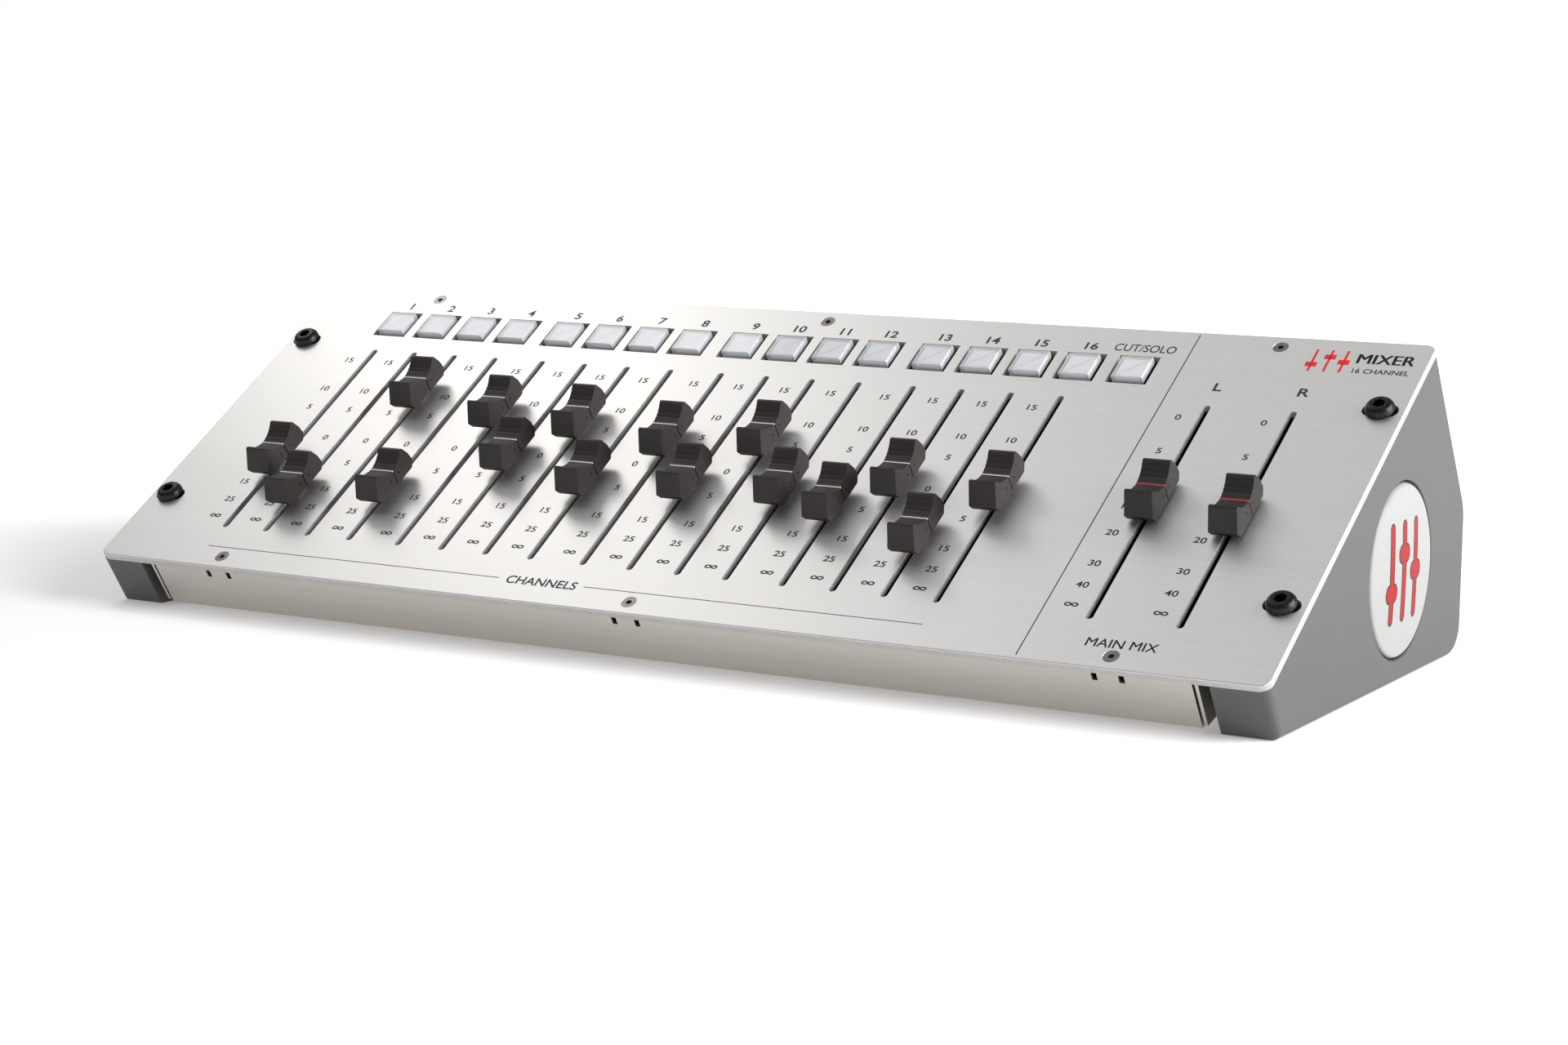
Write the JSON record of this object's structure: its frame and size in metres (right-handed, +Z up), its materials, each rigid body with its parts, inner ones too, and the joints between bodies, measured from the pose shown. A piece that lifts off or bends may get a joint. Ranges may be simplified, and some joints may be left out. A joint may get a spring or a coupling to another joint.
{
  "type": "mixing console",
  "caption": "Desktop audio mixing console: sloped brushed panel with sliding faders and square push buttons, carried on two end cheeks over a wedge-shaped chassis.",
  "frame": {"origin": "centre of the bounding box at the table, under the console", "axes": "+X to the right along the panel, +Y to the rear, +Z up; the panel rises towards +Y"},
  "size_m": [0.4844, 0.188, 0.1142],
  "materials": {
    "panel_aluminium": "brushed along its length",
    "chassis_sheet": "plain satin sheet",
    "cheek_coat": "grey fine-textured powder coat",
    "badge_lens": "clear domed lens over a white print",
    "black_screw": "black oxide",
    "bright_screw": "bright zinc",
    "zinc_plate": "zinc-plated",
    "black_sheet": "matt black paint",
    "rod_steel": "ground and polished",
    "track_board": "carbon track",
    "switch_black": "moulded",
    "circuit_board": "solder mask",
    "connector_shell": "tin-plated",
    "ribbon_grey": "flat cable",
    "channel_cap": "fine moulded texture, white index line",
    "main_cap": "fine moulded texture, red index line",
    "clear_cap": "clear cap over a white diffuser"
  },
  "bodies": {
    "console": {"faceplate": "panel_aluminium", "chassis_tray": "chassis_sheet", "chassis_side_left": "chassis_sheet", "chassis_side_right": "chassis_sheet", "rear_panel": "chassis_sheet", "left_cheek": "cheek_coat", "right_cheek": "cheek_coat", "left_badge": "badge_lens", "right_badge": "badge_lens", "rack_screws": "black_screw", "faceplate_screws": "bright_screw", "panel_studs": "zinc_plate", "fader_panel": "black_sheet", "pan_screws": "bright_screw", "fader_frames": "zinc_plate", "fader_rods": "rod_steel", "fader_tracks": "track_board", "button_switches": "switch_black", "button_board": "circuit_board", "main_board": "circuit_board", "board_standoffs": "zinc_plate", "rear_connectors": "connector_shell", "jack_screws": "bright_screw", "ribbon_cable": "ribbon_grey", "chassis_screws": "bright_screw"},
    "channel_fader_01": {"channel_fader_01": "channel_cap"},
    "channel_fader_02": {"channel_fader_02": "channel_cap"},
    "channel_fader_03": {"channel_fader_03": "channel_cap"},
    "channel_fader_04": {"channel_fader_04": "channel_cap"},
    "channel_fader_05": {"channel_fader_05": "channel_cap"},
    "channel_fader_06": {"channel_fader_06": "channel_cap"},
    "channel_fader_07": {"channel_fader_07": "channel_cap"},
    "channel_fader_08": {"channel_fader_08": "channel_cap"},
    "channel_fader_09": {"channel_fader_09": "channel_cap"},
    "channel_fader_10": {"channel_fader_10": "channel_cap"},
    "channel_fader_11": {"channel_fader_11": "channel_cap"},
    "channel_fader_12": {"channel_fader_12": "channel_cap"},
    "channel_fader_13": {"channel_fader_13": "channel_cap"},
    "channel_fader_14": {"channel_fader_14": "channel_cap"},
    "channel_fader_15": {"channel_fader_15": "channel_cap"},
    "channel_fader_16": {"channel_fader_16": "channel_cap"},
    "main_fader_left": {"main_fader_left": "main_cap"},
    "main_fader_right": {"main_fader_right": "main_cap"},
    "channel_button_01": {"channel_button_01": "clear_cap"},
    "channel_button_02": {"channel_button_02": "clear_cap"},
    "channel_button_03": {"channel_button_03": "clear_cap"},
    "channel_button_04": {"channel_button_04": "clear_cap"},
    "channel_button_05": {"channel_button_05": "clear_cap"},
    "channel_button_06": {"channel_button_06": "clear_cap"},
    "channel_button_07": {"channel_button_07": "clear_cap"},
    "channel_button_08": {"channel_button_08": "clear_cap"},
    "channel_button_09": {"channel_button_09": "clear_cap"},
    "channel_button_10": {"channel_button_10": "clear_cap"},
    "channel_button_11": {"channel_button_11": "clear_cap"},
    "channel_button_12": {"channel_button_12": "clear_cap"},
    "channel_button_13": {"channel_button_13": "clear_cap"},
    "channel_button_14": {"channel_button_14": "clear_cap"},
    "channel_button_15": {"channel_button_15": "clear_cap"},
    "channel_button_16": {"channel_button_16": "clear_cap"},
    "cut_button": {"cut_button": "clear_cap"}
  },
  "joints": [
    {"name": "channel_fader_01_slide", "type": "slide", "parent": "console", "child": "channel_fader_01", "axis": [0, 0.8443, 0.5358], "range_m": [-0.0343, 0.0657]},
    {"name": "channel_fader_02_slide", "type": "slide", "parent": "console", "child": "channel_fader_02", "axis": [0, 0.8443, 0.5358], "range_m": [-0.0183, 0.0817]},
    {"name": "channel_fader_03_slide", "type": "slide", "parent": "console", "child": "channel_fader_03", "axis": [0, 0.8443, 0.5358], "range_m": [-0.0804, 0.0196]},
    {"name": "channel_fader_04_slide", "type": "slide", "parent": "console", "child": "channel_fader_04", "axis": [0, 0.8443, 0.5358], "range_m": [-0.0242, 0.0758]},
    {"name": "channel_fader_05_slide", "type": "slide", "parent": "console", "child": "channel_fader_05", "axis": [0, 0.8443, 0.5358], "range_m": [-0.0723, 0.0277]},
    {"name": "channel_fader_06_slide", "type": "slide", "parent": "console", "child": "channel_fader_06", "axis": [0, 0.8443, 0.5358], "range_m": [-0.0483, 0.0517]},
    {"name": "channel_fader_07_slide", "type": "slide", "parent": "console", "child": "channel_fader_07", "axis": [0, 0.8443, 0.5358], "range_m": [-0.0704, 0.0296]},
    {"name": "channel_fader_08_slide", "type": "slide", "parent": "console", "child": "channel_fader_08", "axis": [0, 0.8443, 0.5358], "range_m": [-0.0388, 0.0612]},
    {"name": "channel_fader_09_slide", "type": "slide", "parent": "console", "child": "channel_fader_09", "axis": [0, 0.8443, 0.5358], "range_m": [-0.0642, 0.0358]},
    {"name": "channel_fader_10_slide", "type": "slide", "parent": "console", "child": "channel_fader_10", "axis": [0, 0.8443, 0.5358], "range_m": [-0.0414, 0.0586]},
    {"name": "channel_fader_11_slide", "type": "slide", "parent": "console", "child": "channel_fader_11", "axis": [0, 0.8443, 0.5358], "range_m": [-0.0688, 0.0312]},
    {"name": "channel_fader_12_slide", "type": "slide", "parent": "console", "child": "channel_fader_12", "axis": [0, 0.8443, 0.5358], "range_m": [-0.0433, 0.0567]},
    {"name": "channel_fader_13_slide", "type": "slide", "parent": "console", "child": "channel_fader_13", "axis": [0, 0.8443, 0.5358], "range_m": [-0.0372, 0.0628]},
    {"name": "channel_fader_14_slide", "type": "slide", "parent": "console", "child": "channel_fader_14", "axis": [0, 0.8443, 0.5358], "range_m": [-0.053, 0.047]},
    {"name": "channel_fader_15_slide", "type": "slide", "parent": "console", "child": "channel_fader_15", "axis": [0, 0.8443, 0.5358], "range_m": [-0.025, 0.075]},
    {"name": "channel_fader_16_slide", "type": "slide", "parent": "console", "child": "channel_fader_16", "axis": [0, 0.8443, 0.5358], "range_m": [-0.0505, 0.0495]},
    {"name": "main_fader_left_slide", "type": "slide", "parent": "console", "child": "main_fader_left", "axis": [0, 0.8443, 0.5358], "range_m": [-0.0542, 0.0458]},
    {"name": "main_fader_right_slide", "type": "slide", "parent": "console", "child": "main_fader_right", "axis": [0, 0.8443, 0.5358], "range_m": [-0.0499, 0.0501]},
    {"name": "channel_button_01_press", "type": "slide", "parent": "console", "child": "channel_button_01", "axis": [0, 0.5358, -0.8443], "range_m": [0, 0.0015], "stiffness_N_per_m": 600, "springref_m": -0.001},
    {"name": "channel_button_02_press", "type": "slide", "parent": "console", "child": "channel_button_02", "axis": [0, 0.5358, -0.8443], "range_m": [0, 0.0015], "stiffness_N_per_m": 600, "springref_m": -0.001},
    {"name": "channel_button_03_press", "type": "slide", "parent": "console", "child": "channel_button_03", "axis": [0, 0.5358, -0.8443], "range_m": [0, 0.0015], "stiffness_N_per_m": 600, "springref_m": -0.001},
    {"name": "channel_button_04_press", "type": "slide", "parent": "console", "child": "channel_button_04", "axis": [0, 0.5358, -0.8443], "range_m": [0, 0.0015], "stiffness_N_per_m": 600, "springref_m": -0.001},
    {"name": "channel_button_05_press", "type": "slide", "parent": "console", "child": "channel_button_05", "axis": [0, 0.5358, -0.8443], "range_m": [0, 0.0015], "stiffness_N_per_m": 600, "springref_m": -0.001},
    {"name": "channel_button_06_press", "type": "slide", "parent": "console", "child": "channel_button_06", "axis": [0, 0.5358, -0.8443], "range_m": [0, 0.0015], "stiffness_N_per_m": 600, "springref_m": -0.001},
    {"name": "channel_button_07_press", "type": "slide", "parent": "console", "child": "channel_button_07", "axis": [0, 0.5358, -0.8443], "range_m": [0, 0.0015], "stiffness_N_per_m": 600, "springref_m": -0.001},
    {"name": "channel_button_08_press", "type": "slide", "parent": "console", "child": "channel_button_08", "axis": [0, 0.5358, -0.8443], "range_m": [0, 0.0015], "stiffness_N_per_m": 600, "springref_m": -0.001},
    {"name": "channel_button_09_press", "type": "slide", "parent": "console", "child": "channel_button_09", "axis": [0, 0.5358, -0.8443], "range_m": [0, 0.0015], "stiffness_N_per_m": 600, "springref_m": -0.001},
    {"name": "channel_button_10_press", "type": "slide", "parent": "console", "child": "channel_button_10", "axis": [0, 0.5358, -0.8443], "range_m": [0, 0.0015], "stiffness_N_per_m": 600, "springref_m": -0.001},
    {"name": "channel_button_11_press", "type": "slide", "parent": "console", "child": "channel_button_11", "axis": [0, 0.5358, -0.8443], "range_m": [0, 0.0015], "stiffness_N_per_m": 600, "springref_m": -0.001},
    {"name": "channel_button_12_press", "type": "slide", "parent": "console", "child": "channel_button_12", "axis": [0, 0.5358, -0.8443], "range_m": [0, 0.0015], "stiffness_N_per_m": 600, "springref_m": -0.001},
    {"name": "channel_button_13_press", "type": "slide", "parent": "console", "child": "channel_button_13", "axis": [0, 0.5358, -0.8443], "range_m": [0, 0.0015], "stiffness_N_per_m": 600, "springref_m": -0.001},
    {"name": "channel_button_14_press", "type": "slide", "parent": "console", "child": "channel_button_14", "axis": [0, 0.5358, -0.8443], "range_m": [0, 0.0015], "stiffness_N_per_m": 600, "springref_m": -0.001},
    {"name": "channel_button_15_press", "type": "slide", "parent": "console", "child": "channel_button_15", "axis": [0, 0.5358, -0.8443], "range_m": [0, 0.0015], "stiffness_N_per_m": 600, "springref_m": -0.001},
    {"name": "channel_button_16_press", "type": "slide", "parent": "console", "child": "channel_button_16", "axis": [0, 0.5358, -0.8443], "range_m": [0, 0.0015], "stiffness_N_per_m": 600, "springref_m": -0.001},
    {"name": "cut_button_press", "type": "slide", "parent": "console", "child": "cut_button", "axis": [0, 0.5358, -0.8443], "range_m": [0, 0.0015], "stiffness_N_per_m": 600, "springref_m": -0.001}
  ]
}
